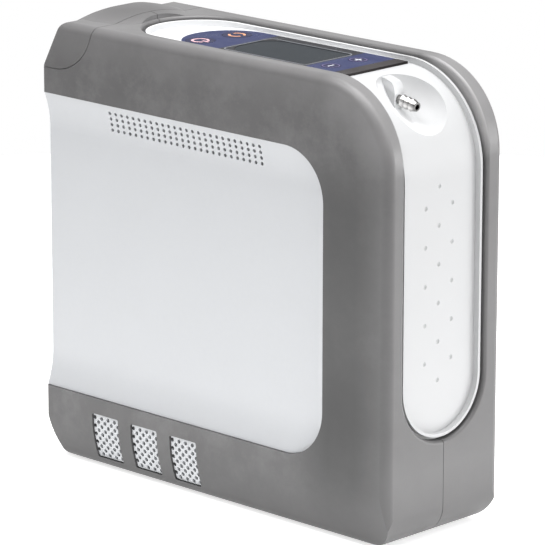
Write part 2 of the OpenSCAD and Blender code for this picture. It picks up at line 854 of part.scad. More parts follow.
// Sealed compressor: motor, crankcase and finned head on rubber mounts
motor_z = 41;
motor_l = 48;
boss_l = 4;
band_l = 34;
sole_half = 18;
case_l = 30;
case_x1 = front_x - 40;
case_x0 = case_x1 - case_l;
case_half = chassis_half - 8;
motor_x = case_x0 - motor_l;
head_x = (case_x0 + case_x1) / 2;
mount_h = 6;
sole_z = tray_top + mount_h + 0.2;
module compressor_motor()
    color([0.5, 0.5, 0.52]) on_feet() translate([motor_x, 0, motor_z]) rotate([0, 90, 0]) {
        cylinder(h = motor_l - fit, d = motor_d - 3);
        translate([0, 0, boss_l]) cylinder(h = band_l, d = motor_d);
    }

module compressor_crankcase()
    color([0.66, 0.67, 0.68]) on_feet() {
        translate([motor_x, -sole_half, sole_z]) cube([case_x1 - motor_x, 2 * sole_half, 2.5]);
        along_x(case_x0, case_x1)
            rounded_area([-case_half, sole_z + 1], [case_half, motor_z + 22], [6, 6, 10, 10]);
    }

module compressor_head()
    color([0.6, 0.61, 0.62]) on_feet() translate([head_x, 0, motor_z + 22 + 0.1]) {
        cylinder(h = 24, d = 24);
        for (k = [0:4]) translate([0, 0, 2 + 4.4 * k]) cylinder(h = 1.8, d = 30);
        translate([0, 0, 13]) rotate([0, 90, 0]) cylinder(h = 18, d = 8);
    }

module compressor_mounts()
    color([0.1, 0.1, 0.1]) on_feet()
        for (x = [motor_x + 9, case_x1 - 8], side = [-1, 1])
            translate([x, side * 12, tray_top + 0.1]) cylinder(h = mount_h, d = 10);

// Axial fan that blows towards the exhaust windows
fan_t = 15;
fan_x = motor_x - fan_t - 8;
fan_side = 2 * (chassis_half - fan_room);
fan_z = tray_top + 0.3 + fan_side / 2;
rotor_r = fan_side / 2 - 3;
module fan_housing()
    color([0.13, 0.13, 0.14]) on_feet() difference() {
        translate([fan_x, -fan_side / 2, fan_z - fan_side / 2]) cube([fan_t, fan_side, fan_side]);
        translate([fan_x + 2.5, 0, fan_z]) rotate([0, 90, 0]) cylinder(h = fan_t, r = rotor_r + 1);
        translate([fan_x - 1, 0, fan_z]) rotate([0, 90, 0]) difference() {
            cylinder(h = 5, r = rotor_r + 1);
            translate([0, 0, -1]) cylinder(h = 7, r = 12);
            for (a = [0:120:240]) rotate(a) translate([0, -2, -1]) cube([rotor_r + 2, 4, 7]);
        }
        translate([fan_x - 1, 0, fan_z]) rotate([0, 90, 0]) cylinder(h = 5, r = 1.55);
    }

module fan_rotor()
    color([0.1, 0.1, 0.11]) on_feet() translate([fan_x, 0, fan_z]) rotate([0, 90, 0]) {
        translate([0, 0, 3]) cylinder(h = 11, r = 11.5);
        translate([0, 0, 0.3]) cylinder(h = 3, r = 1.5);
        for (a = [0:360 / 7:359])
            rotate(a) translate([10.5, 0, 8.5]) rotate([38, 0, 0]) translate([0, -0.7, -5])
                cube([rotor_r - 11, 1.4, 10]);
    }

// Manifold on the sieve beds with its solenoid valves
manifold_z = bed_z + bed_h + 4 + 0.1;
manifold_h = 9.6;
manifold_x = [bed_x[0] - 20, bed_x[1] + 16];
module valve_manifold()
    color([0.55, 0.57, 0.6]) on_feet() difference() {
        along_y(-17, 17)
            rounded_area([manifold_x[0], manifold_z], [manifold_x[1], manifold_z + manifold_h],
                [1, 1, 2, 2]);
        translate([manifold_x[0] - 1, 10, manifold_z + 5]) rotate([0, 90, 0])
            cylinder(h = 12, r = 2);
    }

valve_h = 15;
module solenoid_valves()
    color([0.2, 0.22, 0.25]) on_feet()
        for (k = [0:3])
            translate([manifold_x[0] + 10 + 16 * k, 0, manifold_z + manifold_h + 0.1]) {
                cylinder(h = valve_h - 3, d = 13);
                translate([-5, -5, 0]) cube([10, 10, valve_h]);
            }

conserver_x = corner_x - 10.6;
module conserver_valve()
    color([0.7, 0.7, 0.66]) on_feet() difference() {
        translate([conserver_x, -9, floor_z - 16]) cube([12, 18, 15.7]);
        at_outlet() translate([0, 0, -tail_l - 2]) cylinder(h = tail_l, d = barb_neck + 0.1);
        translate([conserver_x - 1, 0, tube_z]) rotate([0, 90, 0]) cylinder(h = 5, d = tube_d + 0.1);
    }

// Sensor on the bulkhead, over the intake filter
sensor_w = 18;
sensor_t = 9;
sensor_z = seam_z - 38;
module oxygen_sensor()
    color([0.2, 0.45, 0.35]) on_feet()
        translate([bulk_x + 2 + 0.1, 11, sensor_z]) {
            translate([0, -sensor_w / 2, 0]) cube([sensor_t, sensor_w, sensor_w]);
            translate([sensor_t, 0, sensor_w / 2]) rotate([0, 90, 0]) cylinder(h = 4, d = 10);
        }

board_y = 6 - chassis_half;
board_thick = 1.6;
module main_board()
    color([0.08, 0.3, 0.18]) on_feet() translate([bulk_x, board_y, bed_z]) {
        translate([4, 0, 0]) cube([52, board_thick, bed_h + 18]);
        for (k = [0:2])
            translate([10 + 15 * k, board_thick - 0.1, 20 + 12 * k]) cube([11, 3, 11]);
        for (k = [0:1])
            translate([14 + 12 * k, board_thick - 0.1, 8]) rotate([-90, 0, 0]) cylinder(h = 11, d = 8);
    }

module alarm_buzzer()
    color([0.1, 0.1, 0.1]) on_feet()
        translate([tank_x - 12, 10, board_z - 6.1]) cylinder(h = 6, d = 12);

filter_x = bulk_x + 20;
filter_d = 26;
filter_neck = 6;
filter_h = sensor_z - 6 - filter_neck - bed_z;
module intake_filter()
    color([0.85, 0.87, 0.9]) on_feet() translate([filter_x, 10, bed_z]) {
        cylinder(h = filter_h, d = filter_d);
        translate([0, 0, filter_h]) cylinder(h = filter_neck, d = 8);
    }

// Bent tubes of silicone, straight runs with round elbows
tube_d = 6;
elbow_r = 8;
tube_z = floor_z - 10.5;
module elbow(angle_from)
    rotate([90, 0, 0]) rotate([0, 0, angle_from])
        rotate_extrude(angle = 90) translate([elbow_r, 0]) circle(d = tube_d);

tube_x = front_x - 16.5;
module feed_tube() {
    up_x = tube_x;
    z0 = motor_z + 22 + 13.1;
    z1 = manifold_z + 4.8;
    x1 = manifold_x[1] + 0.1;
    color([0.85, 0.87, 0.9]) on_feet() {
        translate([head_x + 18.1, 0, z0]) rotate([0, 90, 0])
            cylinder(h = up_x - elbow_r - head_x - 18.1, d = tube_d);
        translate([up_x - elbow_r, 0, z0 + elbow_r]) elbow(270);
        translate([up_x, 0, z0 + elbow_r]) cylinder(h = z1 - z0 - elbow_r - 4, d = tube_d);
        translate([up_x - 4, 0, z1 - 4]) rotate([90, 0, 0])
            rotate_extrude(angle = 90) translate([4, 0]) circle(d = tube_d);
        translate([x1, 0, z1]) rotate([0, 90, 0]) cylinder(h = up_x - 4 - x1, d = tube_d);
    }
}

module product_tube() {
    z0 = bed_z + tank_h + 0.1;
    x1 = conserver_x + 3.9;
    color([0.85, 0.87, 0.9]) on_feet() {
        translate([tank_x, 0, z0]) cylinder(h = tube_z - elbow_r - z0, d = tube_d);
        translate([tank_x + elbow_r, 0, tube_z - elbow_r]) elbow(90);
        translate([tank_x + elbow_r, 0, tube_z]) rotate([0, 90, 0])
            cylinder(h = x1 - tank_x - elbow_r, d = tube_d);
    }
}

muffler_h = 52;
muffler_d = 18;
module exhaust_muffler()
    color([0.2, 0.2, 0.21]) on_feet() translate([front_x - 28, 0, tray_top + 0.1]) {
        cylinder(h = muffler_h, d = muffler_d);
        translate([0, 0, muffler_h]) cylinder(h = 5, d = 8);
    }

left_shell();
right_shell();
left_panel();
right_panel();
front_strip();
control_overlay();
display_window();
display_module();
display_board();
power_button();
mode_button();
minus_button();
plus_button();
key_switches();
outlet_barb();
outlet_nut();
left_exhaust_grille();
right_exhaust_grille();
battery_cap();
battery_case();
battery_cells();
battery_contacts();
battery_bay();
bay_contacts();
battery_release();
left_intake_foam();
right_intake_foam();
rubber_feet();
case_screws();
power_inlet();
inlet_pin();
chassis();
sieve_bed_a();
sieve_bed_b();
product_tank();
compressor_motor();
compressor_crankcase();
compressor_head();
compressor_mounts();
fan_housing();
fan_rotor();
valve_manifold();
solenoid_valves();
conserver_valve();
oxygen_sensor();
main_board();
alarm_buzzer();
intake_filter();
feed_tube();
product_tube();
exhaust_muffler();
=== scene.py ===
"""Dresses the portable oxygen concentrator and lights it as in a studio.

Metres, in the row frame: the front is +X, the side that the photograph shows is -Y, up is +Z.
"""
import json
import math

import bmesh
import bpy
from mathutils import Matrix, Vector


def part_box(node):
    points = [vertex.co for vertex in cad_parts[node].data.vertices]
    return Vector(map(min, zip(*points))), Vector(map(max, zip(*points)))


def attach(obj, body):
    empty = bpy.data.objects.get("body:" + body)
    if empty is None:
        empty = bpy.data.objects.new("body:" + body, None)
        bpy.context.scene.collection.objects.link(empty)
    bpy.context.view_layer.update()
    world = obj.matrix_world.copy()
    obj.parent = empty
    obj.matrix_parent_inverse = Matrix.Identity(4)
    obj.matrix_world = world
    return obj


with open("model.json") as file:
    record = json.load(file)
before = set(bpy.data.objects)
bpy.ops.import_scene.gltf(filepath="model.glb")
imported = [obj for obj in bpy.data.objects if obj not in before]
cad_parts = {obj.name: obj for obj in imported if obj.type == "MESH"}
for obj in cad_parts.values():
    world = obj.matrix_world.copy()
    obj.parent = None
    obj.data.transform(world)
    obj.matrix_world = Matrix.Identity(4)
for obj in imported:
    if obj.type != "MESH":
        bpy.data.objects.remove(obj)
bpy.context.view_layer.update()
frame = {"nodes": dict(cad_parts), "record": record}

NODES = frame["nodes"]

# Camera, fitted to the photograph; azimuth 0 looks from -Y and 90 from +X
IMAGE_PX = 545
FOCAL_PX = 4240.3
AZIMUTH = math.radians(44.129)
ELEVATION = math.radians(14.751)
ROLL = math.radians(0.086)
DISTANCE = 1.96863
TARGET = Vector((0.00177, 0.00173, 0.1041))
SENSOR_MM = 36.0
CLIP_END = 20.0


# ---------------------------------------------------------------- shader nodes

# Sockets of the Mix node when it mixes colours
MIX_FACTOR, MIX_A, MIX_B, MIX_RESULT = 0, 6, 7, 2

# Most of a noise texture's values lie between these
NOISE_SPAN = (0.3, 0.7)


def new_material(name):
    """A material with a shader, and the shader's node."""
    mat = bpy.data.materials.new(name)
    mat.use_nodes = True
    return mat, mat.node_tree.nodes["Principled BSDF"]


def new_node(mat, kind):
    return mat.node_tree.nodes.new(kind)


def link(mat, out, inp):
    mat.node_tree.links.new(out, inp)


def own_space(mat, output="Object"):
    """The object's own coordinates in metres, or its own normal."""
    return new_node(mat, "ShaderNodeTexCoord").outputs[output]


def split_xyz(mat, vector):
    node = new_node(mat, "ShaderNodeSeparateXYZ")
    link(mat, vector, node.inputs["Vector"])
    return node.outputs["X"], node.outputs["Y"], node.outputs["Z"]


def noise(mat, scale, detail=3.0, roughness=0.5):
    """Noise in the object's own metres, so its grain has a real size."""
    tex = new_node(mat, "ShaderNodeTexNoise")
    tex.inputs["Scale"].default_value = scale
    tex.inputs["Detail"].default_value = detail
    tex.inputs["Roughness"].default_value = roughness
    link(mat, own_space(mat), tex.inputs["Vector"])
    return tex.outputs["Fac"]


def remap(mat, value, low, high, span=NOISE_SPAN):
    """Turns a value's span into low to high, and holds it there outside the span."""
    node = new_node(mat, "ShaderNodeMapRange")
    node.inputs["From Min"].default_value = span[0]
    node.inputs["From Max"].default_value = span[1]
    node.inputs["To Min"].default_value = low
    node.inputs["To Max"].default_value = high
    link(mat, value, node.inputs["Value"])
    return node.outputs["Result"]


def rise(mat, value, span, low=0.0, high=1.0):
    return remap(mat, value, low, high, span)


def fall(mat, value, span, high=1.0, low=0.0):
    return remap(mat, value, high, low, span)


def maths(mat, operation, a, b=None):
    """One maths step; each input is a number or an output socket."""
    node = new_node(mat, "ShaderNodeMath")
    node.operation = operation
    for socket, value in zip(node.inputs, (a, b)):
        if isinstance(value, bpy.types.NodeSocket):
            link(mat, value, socket)
        elif value is not None:
            socket.default_value = value
    return node.outputs[0]


def times(mat, first, *others):
    for value in others:
        first = maths(mat, "MULTIPLY", first, value)
    return first


def absolute(mat, value):
    return maths(mat, "ABSOLUTE", value)


def past(mat, value, start):
    """How far a value is beyond a start, and nothing before it."""
    return maths(mat, "MAXIMUM", maths(mat, "SUBTRACT", value, start), 0.0)


def span_of(mat, a, b):
    """Length of the line whose sides across and up are a and b."""
    return maths(mat, "SQRT", maths(mat, "ADD", maths(mat, "POWER", a, 2.0),
                                    maths(mat, "POWER", b, 2.0)))


def mix(mat, factor, a, b):
    """Mixes two colours; each is a tuple or an output socket."""
    node = new_node(mat, "ShaderNodeMix")
    node.data_type = "RGBA"
    link(mat, factor, node.inputs[MIX_FACTOR])
    for socket, colour in ((node.inputs[MIX_A], a), (node.inputs[MIX_B], b)):
        if isinstance(colour, bpy.types.NodeSocket):
            link(mat, colour, socket)
        else:
            socket.default_value = (*colour[:3], 1.0)
    return node.outputs[MIX_RESULT]


def bump(mat, bsdf, heights):
    """Chains bumps of (height socket, depth in metres, strength)."""
    last = None
    for height, depth, strength in heights:
        node = new_node(mat, "ShaderNodeBump")
        node.inputs["Distance"].default_value = depth
        node.inputs["Strength"].default_value = strength
        link(mat, height, node.inputs["Height"])
        if last is not None:
            link(mat, last, node.inputs["Normal"])
        last = node.outputs["Normal"]
    link(mat, last, bsdf.inputs["Normal"])


def shade(colour, factor):
    return tuple(min(1.0, c * factor) for c in colour[:3])


# ---------------------------------------------------------------- kinds of material

# Noise scales, in features per metre
SLOW_SCALE = 18.0
GLOSS_SCALE = 60.0
TOOL_SCALE = 900.0
PLATING_SCALE = 240.0
FOAM_SCALE = 1400.0

SPECK_SCALE = 0.6       # of the grain's scale
SPECK_SHARE = 0.5       # of the specks' colour, at most
WAVE_DEPTH = 0.0006
COAT_ROUGH = 0.12


def moulded(name, colour, rough=0.45, vary=0.04, grain=1600.0, depth=0.00004, strength=0.35,
            coat=0.0, specular=0.5, wave=0.05, gloss=0.045, wear_and_painted_light=None):
    """Moulded plastic: fine grain, slow waviness, a little unevenness in colour and gloss."""
    mat, bsdf = new_material(name)
    slow = noise(mat, SLOW_SCALE, 4.0, 0.6)
    fine = noise(mat, grain, 2.0, 0.5)
    specks = noise(mat, grain * SPECK_SCALE, 2.0, 0.7)
    tone = mix(mat, remap(mat, slow, 0.0, 1.0),
               shade(colour, 1.0 - vary), shade(colour, 1.0 + vary))
    tone = mix(mat, remap(mat, specks, 0.0, SPECK_SHARE), tone, shade(colour, 1.0 + vary * 2))
    # Wear and painted light from the given function
    if wear_and_painted_light is not None:
        tone = wear_and_painted_light(mat, tone, colour)
    link(mat, tone, bsdf.inputs["Base Color"])
    link(mat, remap(mat, noise(mat, GLOSS_SCALE), rough - gloss, rough + gloss),
         bsdf.inputs["Roughness"])
    bsdf.inputs["Specular IOR Level"].default_value = specular
    bsdf.inputs["Coat Weight"].default_value = coat
    bsdf.inputs["Coat Roughness"].default_value = COAT_ROUGH
    bump(mat, bsdf, [(fine, depth, strength), (slow, WAVE_DEPTH, wave)])
    return mat


def metal(name, colour, rough=0.22, brushed=0.0, wear_and_painted_light=None):
    """Turned or plated metal with fine tool marks."""
    mat, bsdf = new_material(name)
    bsdf.inputs["Metallic"].default_value = 1.0
    marks = noise(mat, TOOL_SCALE, 3.0, 0.6)
    tone = mix(mat, remap(mat, marks, 0.0, 1.0), shade(colour, 0.92), shade(colour, 1.05))
    # Wear and painted light from the given function
    if wear_and_painted_light is not None:
        tone = wear_and_painted_light(mat, tone, colour)
    link(mat, tone, bsdf.inputs["Base Color"])
    link(mat, remap(mat, noise(mat, PLATING_SCALE), rough - 0.05, rough + 0.08 + brushed),
         bsdf.inputs["Roughness"])
    bump(mat, bsdf, [(marks, 0.00003, 0.25)])
    return mat


def foam(name, colour):
    """Open-cell foam."""
    mat, bsdf = new_material(name)
    cells = new_node(mat, "ShaderNodeTexVoronoi")
    cells.inputs["Scale"].default_value = FOAM_SCALE
    link(mat, own_space(mat), cells.inputs["Vector"])
    link(mat, mix(mat, cells.outputs["Distance"], shade(colour, 0.5), shade(colour, 1.4)),
         bsdf.inputs["Base Color"])
    bsdf.inputs["Roughness"].default_value = 0.95
    bump(mat, bsdf, [(cells.outputs["Distance"], 0.0005, 0.8)])
    return mat


# ---------------------------------------------------------------- wear, tints and painted light
# Fades are (start, end) in metres, and shades are factors on the colour.

def tinted(mat, tone, colour, tints):
    """Lays shades of a colour over a tone, each as (share socket, factor on the colour)."""
    for share, factor in tints:
        tone = mix(mat, share, tone, shade(colour, factor))
    return tone


# Middle of the arc that rounds the top into the front
CORNER_X, CORNER_Z = 0.065, 0.168

# The outlet: a point on its axis, its downward tilt, and the radii of its valleys and crests
OUTLET_X, OUTLET_Z = 0.07708, 0.19987
OUTLET_TILT = math.radians(10)
BARB_FADE = (0.0021, 0.0027)
VALLEY_SHADE = 0.34


def painted_barb_shade(mat, tone, colour):
    """Painted shade in the valleys between the barbs, by the distance from the outlet's axis."""
    x, y, z = split_xyz(mat, own_space(mat))
    along = times(mat, maths(mat, "SUBTRACT", x, OUTLET_X), math.sin(OUTLET_TILT))
    up = times(mat, maths(mat, "SUBTRACT", z, OUTLET_Z), math.cos(OUTLET_TILT))
    radius = span_of(mat, maths(mat, "ADD", along, up), y)
    return mix(mat, fall(mat, radius, BARB_FADE), tone, shade(colour, VALLEY_SHADE))


# The shell's smudges and scuffs
SMUDGE_SCALE, SMUDGE_MOST, SMUDGE_SHADE = 26.0, 0.70, 0.78
SCUFF_SCALE, SCUFF_SPAN, SCUFF_MOST, SCUFF_SHADE = 48.0, (0.46, 0.66), 0.75, 1.40
# Painted highlight on the rounded edges, strongest at the corner
# Edges: by the distance from the corner's middle, and more of it at the corner itself
EDGE_FADE, EDGE_SHADE = (0.026, 0.046), 1.42
CORNER_FADE, CORNER_SHADE = (0.004, 0.016), 1.9
# Painted light that lifts the shade on the inner wall round the strip
# Inner wall round the strip: by y times the normal's y, which is below zero there
INNER_FADE, INNER_SHADE = (-0.010, -0.002), 2.8
# Painted shade on the cap's crown and the housing's foot, by height
CROWN_FADE, CROWN_SHADE = (0.2145, 0.2175), 0.90
FOOT_FADE, FOOT_MOST, FOOT_SHADE = (0.004, 0.034), 0.9, 0.60
# Painted shade in a zone upright behind the front: its x, and its fades along x and z
SIDE_SHADE_X, SIDE_SHADE_FADE, SIDE_SHADE = 0.083, (0.008, 0.034), 0.52
SIDE_SHADE_FOOT, SIDE_SHADE_HEAD = (0.01, 0.05), (0.155, 0.190)
# Its lower part, where the painted shade is darker still
LOW_FOOT, LOW_HEAD, LOW_MOST, LOW_SHADE = (0.012, 0.035), (0.06, 0.10), 0.8, 0.28


def smudges_and_painted_light(mat, tone, colour):
    """Smudged and scuffed, with painted highlights and painted shade by place on the housing."""
    x, y, z = split_xyz(mat, own_space(mat))
    facing_y = split_xyz(mat, own_space(mat, "Normal"))[1]
    smudge = noise(mat, SMUDGE_SCALE, 5.0, 0.65)
    scuffs = noise(mat, SCUFF_SCALE, 8.0, 0.75)
    past_x, past_z = past(mat, x, CORNER_X), past(mat, z, CORNER_Z)
    corner = times(mat, rise(mat, past_x, CORNER_FADE), rise(mat, past_z, CORNER_FADE))
    edge = times(mat, rise(mat, span_of(mat, past_x, past_z), EDGE_FADE),
                 remap(mat, smudge, 0.55, 1.0))
    inner = fall(mat, times(mat, y, facing_y), INNER_FADE)
    side_shade = times(mat, fall(mat, absolute(mat, maths(mat, "SUBTRACT", x, SIDE_SHADE_X)), SIDE_SHADE_FADE),
                 rise(mat, z, SIDE_SHADE_FOOT, low=0.5), fall(mat, z, SIDE_SHADE_HEAD),
                 remap(mat, smudge, 0.75, 1.0))
    low = times(mat, rise(mat, z, LOW_FOOT), fall(mat, z, LOW_HEAD, high=LOW_MOST))
    return tinted(mat, tone, colour, [
        (remap(mat, smudge, SMUDGE_MOST, 0.0), SMUDGE_SHADE),
        (rise(mat, scuffs, SCUFF_SPAN, high=SCUFF_MOST), SCUFF_SHADE),
        (edge, EDGE_SHADE),
        (times(mat, edge, corner), CORNER_SHADE),
        (times(mat, inner, corner), INNER_SHADE),
        (rise(mat, z, CROWN_FADE), CROWN_SHADE),
        (fall(mat, z, FOOT_FADE, high=FOOT_MOST), FOOT_SHADE),
        (side_shade, SIDE_SHADE),
        (times(mat, side_shade, low), LOW_SHADE),
    ])


# Painted light on the strip's top, which is paler than its front: by height and x
TOP_FADE_Z, TOP_FADE_X, TOP_SHADE = (0.190, 0.206), (0.042, 0.064), 1.45
# The scoop, by the distance from the corner's middle; it starts a little past the middle
SCOOP_FADE, SCOOP_START = (0.0375, 0.0414), (0.001, 0.003)
# Painted light on the scoop's shaded near side, and painted shade on its far side
# Its side that gets little light, by the distance from a y, and the side across from it
NEAR_Y, NEAR_FADE, NEAR_SHADE = 0.005, (0.003, 0.010), 1.85
FAR_FADE, FAR_SHADE = (0.0, 0.010), 0.95
# Painted shade on the side of the fin in it, by the normal's y and half the fin's thickness
FIN_FACING, FIN_FADE, FIN_SHADE = (-0.97, -0.8), (0.003, 0.004), 0.78
# Painted shade in the grip dimples: the area that holds them, and occlusion within a short reach
DIMPLE_FADE_Y, DIMPLE_FOOT, DIMPLE_HEAD = (0.018, 0.021), (0.062, 0.066), (0.167, 0.171)
HOLLOW_REACH, HOLLOW_SAMPLES, HOLLOW_SPAN, HOLLOW_SHADE = 0.0022, 8, (0.45, 0.95), 0.45


def top_lit(mat, tone, colour):
    """White with painted light on top and in the scoop, painted shade on the fin and dimples."""
    x, y, z = split_xyz(mat, own_space(mat))
    facing_y = split_xyz(mat, own_space(mat, "Normal"))[1]
    top = times(mat, rise(mat, z, TOP_FADE_Z), fall(mat, x, TOP_FADE_X))
    past_x, past_z = past(mat, x, CORNER_X), past(mat, z, CORNER_Z)
    scoop = times(mat, fall(mat, span_of(mat, past_x, past_z), SCOOP_FADE),
                  rise(mat, past_x, SCOOP_START), rise(mat, past_z, SCOOP_START))
    near = fall(mat, absolute(mat, maths(mat, "ADD", y, NEAR_Y)), NEAR_FADE)
    fin = times(mat, fall(mat, facing_y, FIN_FACING), fall(mat, absolute(mat, y), FIN_FADE))
    hollow = new_node(mat, "ShaderNodeAmbientOcclusion")
    hollow.inputs["Distance"].default_value = HOLLOW_REACH
    hollow.samples = HOLLOW_SAMPLES
    dimple_shade = times(mat, fall(mat, absolute(mat, y), DIMPLE_FADE_Y), rise(mat, z, DIMPLE_FOOT),
                    fall(mat, z, DIMPLE_HEAD), fall(mat, hollow.outputs["AO"], HOLLOW_SPAN))
    return tinted(mat, tone, colour, [
        (top, TOP_SHADE),
        (times(mat, scoop, near), NEAR_SHADE),
        (times(mat, scoop, rise(mat, y, FAR_FADE)), FAR_SHADE),
        (times(mat, scoop, fin), FIN_SHADE),
        (dimple_shade, HOLLOW_SHADE),
    ])


# ---------------------------------------------------------------- films and display

# Ends of the printed film's colour ramp along x
RAMP_START, RAMP_END = -0.06, 0.07
PRINT_SPECK = (0.2, 0.2, 0.25)
EDGE_BLUR = 0.0002


def film(name, bands, rough=0.3, rear_end=None):
    """Printed film: bands of colour along x, as (start in metres, colour), under a varnish.

    The print can end in an arc at the rear, given as (x of its middle, radius).
    """
    mat, bsdf = new_material(name)
    x, y, _ = split_xyz(mat, own_space(mat))
    ramp = new_node(mat, "ShaderNodeValToRGB")
    ramp.color_ramp.interpolation = "CONSTANT"
    link(mat, rise(mat, x, (RAMP_START, RAMP_END)), ramp.inputs["Fac"])
    stops = ramp.color_ramp.elements
    while len(stops) > 1:
        stops.remove(stops[-1])
    stops[0].position = 0.0
    stops[0].color = (*bands[0][1], 1.0)
    for start, colour in bands[1:]:
        stop = stops.new((start - RAMP_START) / (RAMP_END - RAMP_START))
        stop.color = (*colour, 1.0)
    print_noise = noise(mat, 700.0, 2.0)
    tone = mix(mat, remap(mat, print_noise, 0.0, 0.02), ramp.outputs["Color"], PRINT_SPECK)
    if rear_end is not None:
        middle, radius = rear_end
        behind = maths(mat, "MINIMUM", maths(mat, "SUBTRACT", x, middle), 0.0)
        outside = rise(mat, span_of(mat, behind, y), (radius - EDGE_BLUR, radius + EDGE_BLUR))
        # Beyond the arc, the strip's white with the painted light of its top
        tone = mix(mat, outside, tone, shade(STRIP_WHITE, TOP_SHADE))
    link(mat, tone, bsdf.inputs["Base Color"])
    bsdf.inputs["Specular IOR Level"].default_value = 0.03
    link(mat, remap(mat, noise(mat, 90.0), rough - 0.05, rough + 0.05), bsdf.inputs["Roughness"])
    bump(mat, bsdf, [(print_noise, 0.00002, 0.2)])
    return mat


def screen(name):
    """Liquid crystal display behind its window, with a faint pixel grid."""
    mat, bsdf = new_material(name)
    cells = new_node(mat, "ShaderNodeTexBrick")
    cells.offset = 0.0
    for socket, value in (("Scale", 900.0), ("Mortar Size", 0.04), ("Brick Width", 0.5),
                          ("Row Height", 0.5), ("Color1", (0.009, 0.014, 0.019, 1)),
                          ("Color2", (0.008, 0.013, 0.018, 1)),
                          ("Mortar", (0.006, 0.010, 0.014, 1))):
        cells.inputs[socket].default_value = value
    link(mat, own_space(mat), cells.inputs["Vector"])
    cloud = remap(mat, noise(mat, 35.0, 2.0), 0.0, 0.3)
    link(mat, mix(mat, cloud, cells.outputs["Color"], (0.02, 0.026, 0.035)),
         bsdf.inputs["Base Color"])
    link(mat, remap(mat, noise(mat, 300.0), 0.12, 0.20), bsdf.inputs["Roughness"])
    bsdf.inputs["Specular IOR Level"].default_value = 0.015
    return mat


# ---------------------------------------------------------------- the object's materials

GREY = (0.113, 0.111, 0.112)
WHITE = (0.532, 0.543, 0.560)
STRIP_WHITE = (0.485, 0.488, 0.494)
NAVY = (0.020, 0.027, 0.085)
KEY_NAVY = (0.012, 0.014, 0.050)
FRAME_GREY = (0.021, 0.021, 0.024)
END_BROWN = (0.030, 0.026, 0.026)

SLOT_MATERIALS = {
    "shell": moulded("shell_grain", GREY, rough=0.42, vary=0.05, grain=1500,
                     depth=0.00006, strength=0.4, wear_and_painted_light=smudges_and_painted_light),
    "panel": moulded("panel_gloss", WHITE, rough=0.32, vary=0.012, grain=700,
                     depth=0.00002, strength=0.15, wave=0.0, gloss=0.01),
    "strip": moulded("strip_gloss", STRIP_WHITE, rough=0.5, vary=0.004, grain=700,
                     depth=0.00002, strength=0.15, specular=0.35, wave=0.0, gloss=0.01,
                     wear_and_painted_light=top_lit),
    "black_plastic": moulded("black_plastic", (0.02, 0.02, 0.022), rough=0.5, vary=0.15),
    "dark_plastic": moulded("dark_plastic", (0.05, 0.05, 0.053), rough=0.5, vary=0.1),
    "light_plastic": moulded("light_plastic", (0.55, 0.55, 0.52), rough=0.45, vary=0.03),
    "circuit_board": moulded("circuit_board", (0.02, 0.11, 0.05), rough=0.35, vary=0.25,
                             grain=500),
    "rubber": moulded("rubber", (0.02, 0.02, 0.02), rough=0.8, vary=0.2, grain=2500,
                      depth=0.0001),
    "silicone": moulded("silicone", (0.6, 0.62, 0.64), rough=0.35, vary=0.02),
    "cell_wrap": moulded("cell_wrap", (0.04, 0.12, 0.35), rough=0.25, vary=0.05, coat=0.4),
    "foam": foam("foam", (0.03, 0.03, 0.03)),
    "barb_metal": metal("barb_metal", (0.54, 0.53, 0.52), rough=0.24, wear_and_painted_light=painted_barb_shade),
    "brass": metal("brass", (0.65, 0.48, 0.22), rough=0.3),
    "contact_metal": metal("contact_metal", (0.80, 0.60, 0.28), rough=0.25),
    "steel": metal("steel", (0.45, 0.45, 0.46), rough=0.35, brushed=0.1),
    "aluminium": metal("aluminium", (0.62, 0.63, 0.64), rough=0.4, brushed=0.1),
    "overlay": film("overlay_film", [(RAMP_START, NAVY), (-0.0145, FRAME_GREY), (0.0405, NAVY),
                                     (0.0585, END_BROWN)], rear_end=(-0.024, 0.0226)),
    "key": film("key_film", [(RAMP_START, KEY_NAVY)], rough=0.28),
    "display_glass": screen("display_screen"),
}


def dress_nodes():
    """Gives every CAD node the material of its slot."""
    slots = {s["node"]: s["material_slot"] for s in frame["record"]["subparts"]}
    for name, obj in NODES.items():
        mat = SLOT_MATERIALS[slots[name]]
        if not obj.material_slots:
            obj.data.materials.append(mat)
        for slot in obj.material_slots:
            slot.material = mat


# ---------------------------------------------------------------- outlines of prints, as (x, y)

def circle(cx, cy, r, count=48):
    steps = [2 * math.pi * k / count for k in range(count)]
    return [(cx + r * math.cos(a), cy + r * math.sin(a)) for a in steps]


def ring(cx, cy, outer, inner):
    return circle(cx, cy, outer), circle(cx, cy, inner)


def arc(cx, cy, outer, inner, start, end, count=28):
    """Part of a ring from one angle to another, in degrees."""
    steps = [math.radians(start + (end - start) * k / count) for k in range(count + 1)]
    return ([(cx + outer * math.cos(a), cy + outer * math.sin(a)) for a in steps]
            + [(cx + inner * math.cos(a), cy + inner * math.sin(a)) for a in reversed(steps)])


def bar(cx, cy, length, width, angle=0.0):
    c, s = math.cos(math.radians(angle)), math.sin(math.radians(angle))
    return [(cx + x * c - y * s, cy + x * s + y * c)
            for x, y in ((-length / 2, -width / 2), (length / 2, -width / 2),
                         (length / 2, width / 2), (-length / 2, width / 2))]


def rounded_box(x0, y0, x1, y1, r, count=8):
    points = []
    for cx, cy, start in ((x1 - r, y1 - r, 0), (x0 + r, y1 - r, 90),
                          (x0 + r, y0 + r, 180), (x1 - r, y0 + r, 270)):
        for k in range(count + 1):
            a = math.radians(start + 90 * k / count)
            points.append((cx + r * math.cos(a), cy + r * math.sin(a)))
    return points


# Symbols on the keys, in shares of the key's radius

def power_symbol(cx, cy, r):
    """Open circle with a bar through its gap."""
    return [arc(cx, cy, r * 0.62, r * 0.45, 30, 330), bar(cx + r * 0.5, cy, r * 0.6, r * 0.17)]


